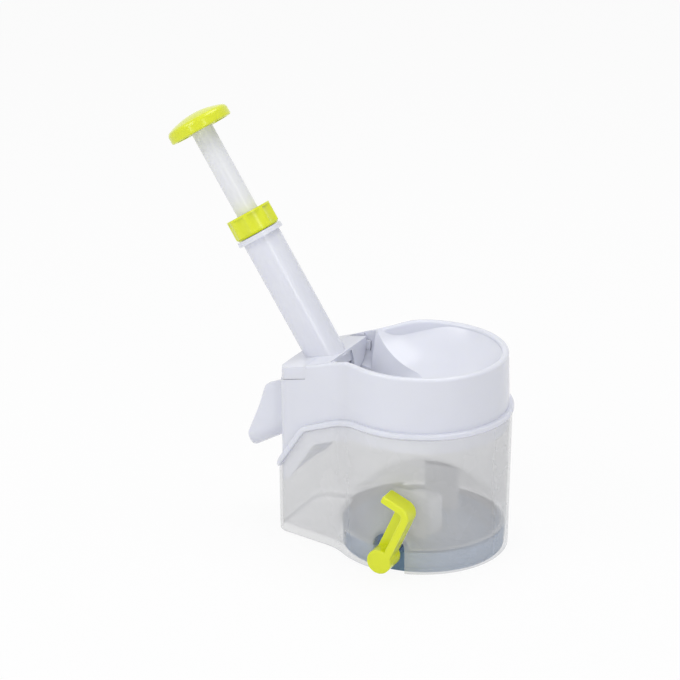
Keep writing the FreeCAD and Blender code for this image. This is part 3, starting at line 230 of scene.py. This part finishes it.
def vector_step(tree, operation, vector):
    """A Vector Math node that works on one vector."""
    node = tree.nodes.new("ShaderNodeVectorMath")
    node.operation = operation
    tree.links.new(vector, node.inputs[0])
    return node


# Materials

def moulded_plastic(name, colour, rough_low, rough_high, spread=0.02, subsurface=0.0):
    """Injection-moulded plastic: faint flow shading, uneven gloss and a fine skin."""
    material, tree, shader = new_material(name)
    skin(tree, shader, colour, spread, patches=(18.0, 3.0), gloss=(60.0, 4.0),
         rough=(rough_low, rough_high), grain=(900.0, 3.0), depth=0.00001)
    shader.inputs["IOR"].default_value = 1.5
    if subsurface > 0:
        scatter(shader, subsurface, radius=(0.004, 0.004, 0.005), scale=0.6)
    return material


def wall_opacity(tree, place):
    """Milky outside the dome's foot and clearer inside it."""
    flat = vector_step(tree, "MULTIPLY", place)
    flat.inputs[1].default_value = (1.0, 1.0, 0.0)
    reach = vector_step(tree, "LENGTH", flat.outputs["Vector"])
    wall = tree.nodes.new("ShaderNodeMapRange")
    wall.interpolation_type = "SMOOTHSTEP"
    wall.inputs["From Min"].default_value = DOME_RADIUS - DOME_EDGE
    wall.inputs["From Max"].default_value = DOME_RADIUS + DOME_EDGE
    wall.inputs["To Min"].default_value = DOME_OPACITY
    wall.inputs["To Max"].default_value = BIN_OPACITY
    tree.links.new(reach.outputs["Value"], wall.inputs["Value"])
    return wall.outputs["Result"]


def bearing_opacity(tree, place):
    """The bearing walls' opacity in the space that they fill, and 0 elsewhere."""
    along = tree.nodes.new("ShaderNodeSeparateXYZ")
    tree.links.new(place, along.inputs["Vector"])
    either_side = tree.nodes.new("ShaderNodeMath")
    either_side.operation = "ABSOLUTE"
    tree.links.new(along.outputs["Y"], either_side.inputs[0])
    values = (along.outputs["X"], either_side.outputs[0], along.outputs["Z"])
    in_x, in_y, in_z = (within(tree, value, *space)
                        for value, space in zip(values, BEARING_SPACE))
    inside = combine(tree, "MULTIPLY", combine(tree, "MULTIPLY", in_x, in_y), in_z)
    bearing = tree.nodes.new("ShaderNodeMapRange")
    bearing.inputs["To Max"].default_value = BEARING_OPACITY
    tree.links.new(inside, bearing.inputs["Value"])
    return bearing.outputs["Result"]


def milkiness(tree):
    """The bin's opacity: milky wall, clearer dome, and most of the light let in."""
    place = tree.nodes.new("ShaderNodeTexCoord").outputs["Object"]
    opacity = combine(tree, "MAXIMUM", wall_opacity(tree, place), bearing_opacity(tree, place))
    kept = tree.nodes.new("ShaderNodeMapRange")
    kept.inputs["To Min"].default_value = 1.0
    kept.inputs["To Max"].default_value = 1.0 - LIGHT_LET_IN
    tree.links.new(any_ray(tree, "Is Shadow Ray", "Is Diffuse Ray"), kept.inputs["Value"])
    return combine(tree, "MULTIPLY", opacity, kept.outputs["Result"])


def milky_bin():
    """Frosted polypropylene: a milky skin on both faces that what is inside shows through."""
    material, tree, shader = new_material("milky_bin")
    skin(tree, shader, BIN_COLOUR, 0.015, patches=(25.0, 3.0), gloss=(45.0, 4.0),
         rough=(0.22, 0.30), grain=(700.0, 3.0), depth=0.00001)
    shader.inputs["IOR"].default_value = 1.4
    tree.links.new(milkiness(tree), shader.inputs["Alpha"])
    return material


def soft_rubber():
    """Matt blue-grey rubber."""
    material, tree, shader = new_material("soft_rubber")
    skin(tree, shader, RUBBER_COLOUR, 0.08, patches=(70.0, 4.0), gloss=(120.0, 4.0),
         rough=(0.42, 0.60), grain=(1500.0, 4.0), depth=0.00003)
    return material


def turned_steel(name, roughness, stretch):
    """Drawn or turned steel with fine lines."""
    material, tree, shader = new_material(name)
    lines = noise(tree, 900.0, 3.0, stretch=stretch)
    tree.links.new(tinted(tree, lines, STEEL_COLOUR, 0.10), shader.inputs["Base Color"])
    tree.links.new(remap(tree, lines, roughness * 0.8, roughness * 1.3),
                   shader.inputs["Roughness"])
    bump(tree, shader, lines, 0.00001)
    shader.inputs["Metallic"].default_value = 1.0
    return material


def silicone():
    """Soft, slightly cloudy silicone."""
    material, tree, shader = new_material("silicone")
    skin(tree, shader, SILICONE_COLOUR, 0.05, patches=(80.0, 3.0), gloss=(150.0, 3.0),
         rough=(0.35, 0.5), grain=(1200.0, 3.0), depth=0.00002)
    scatter(shader, 0.4, radius=(0.003, 0.003, 0.004), scale=0.5)
    return material


def dress(material, *nodes):
    """Gives the CAD nodes their material."""
    for name in nodes:
        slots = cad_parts[name].data.materials
        slots.clear()
        slots.append(material)


def flexible(name, node, material):
    """A copy of a node's mesh with the given material, shown in place of the node, which is
    hidden.
    """
    piece = bpy.data.objects.new(name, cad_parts[node].data.copy())
    bpy.context.scene.collection.objects.link(piece)
    piece.data.materials.clear()
    piece.data.materials.append(material)
    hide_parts(node)
    return piece


def make_spring():
    """The return spring as a piece of its own with its own mesh, carried by the barrel unit's
    body.
    """
    spring = flexible("coil_spring", "return_spring",
                      turned_steel("spring_wire", 0.22, (1.0, 1.0, 1.0)))
    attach(spring, "barrel_unit")
    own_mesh(spring)


def make_disc():
    """The suction disc as a piece of its own, with its transform baked into its mesh."""
    disc = flexible("suction_cup", "suction_disc", soft_rubber())
    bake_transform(disc)


def make_materials():
    dress(moulded_plastic("shell_white", SHELL_COLOUR, 0.16, 0.26, subsurface=0.25),
          "hopper_body", "barrel_cover")
    dress(moulded_plastic("tube_white", TUBE_COLOUR, 0.20, 0.30, subsurface=0.2), "plunger_tube")
    dress(moulded_plastic("accent_lime", LIME_COLOUR, 0.14, 0.24, spread=0.03, subsurface=0.15),
          "palm_knob", "collar_nut", "lever")
    dress(milky_bin(), "container")
    dress(moulded_plastic("post_plastic", POST_COLOUR, 0.35, 0.5), "suction_post")
    dress(moulded_plastic("inner_plastic", INNER_COLOUR, 0.3, 0.45),
          "seat_retainer", "stripper", "guide_bush", "pin_carrier")
    dress(turned_steel("axle_steel", 0.25, (1.0, 0.05, 1.0)), "cam_axle", "retaining_clip")
    dress(turned_steel("pin_steel", 0.18, (1.0, 1.0, 0.1)),
          "pitting_pin", "cross_pin", "spring_washer")
    dress(silicone(), "cherry_seat")


# Stage and light

def seen_directly(tree):
    """1 for camera, glossy and transmission rays, 0 for the light that falls on the object."""
    return any_ray(tree, "Is Camera Ray", "Is Glossy Ray", "Is Transmission Ray")


def make_floor():
    mesh = bpy.data.meshes.new("floor")
    half = FLOOR_HALF
    corners = [(-half, -half, 0), (half, -half, 0), (half, half, 0), (-half, half, 0)]
    mesh.from_pydata(corners, [], [(0, 1, 2, 3)])
    floor = bpy.data.objects.new("floor", mesh)
    bpy.context.scene.collection.objects.link(floor)
    floor.location.z = -FLOOR_DROP
    material, tree, shader = new_material("floor")
    shader.inputs["Base Color"].default_value = FLOOR_COLOUR
    shader.inputs["Roughness"].default_value = 0.9
    shader.inputs["Specular IOR Level"].default_value = 0.1
    glow = tree.nodes.new("ShaderNodeEmission")
    glow.inputs["Color"].default_value = WHITE
    glow.inputs["Strength"].default_value = 1.0
    share = tree.nodes.new("ShaderNodeMath")
    share.operation = "MULTIPLY"
    share.inputs[1].default_value = FLOOR_SHOWN_WHITE
    tree.links.new(seen_directly(tree), share.inputs[0])
    mix = tree.nodes.new("ShaderNodeMixShader")
    tree.links.new(share.outputs[0], mix.inputs["Fac"])
    tree.links.new(shader.outputs["BSDF"], mix.inputs[1])
    tree.links.new(glow.outputs["Emission"], mix.inputs[2])
    tree.links.new(mix.outputs["Shader"], tree.nodes["Material Output"].inputs["Surface"])
    mesh.materials.append(material)


def make_world():
    world = bpy.data.worlds.new("world")
    bpy.context.scene.world = world
    world.use_nodes = True
    tree = world.node_tree
    background = tree.nodes["Background"]
    background.inputs["Color"].default_value = WHITE
    strength = tree.nodes.new("ShaderNodeMapRange")
    strength.inputs["To Min"].default_value = WORLD_LIGHT
    strength.inputs["To Max"].default_value = WORLD_SHOWN
    tree.links.new(seen_directly(tree), strength.inputs["Value"])
    tree.links.new(strength.outputs["Result"], background.inputs["Strength"])


def area_light(name, place, size, power):
    data = bpy.data.lights.new(name, "AREA")
    data.shape = "RECTANGLE"
    data.size, data.size_y = size
    data.energy = power
    light = bpy.data.objects.new(name, data)
    bpy.context.scene.collection.objects.link(light)
    light.location = place
    aim(light, LIT_MIDDLE)


make_camera()
make_world()
make_floor()
for lamp, (place, size, power) in LAMPS.items():
    area_light(lamp, place, size, power)
make_materials()
make_spring()
make_disc()
bpy.context.scene.view_settings.view_transform = "Standard"
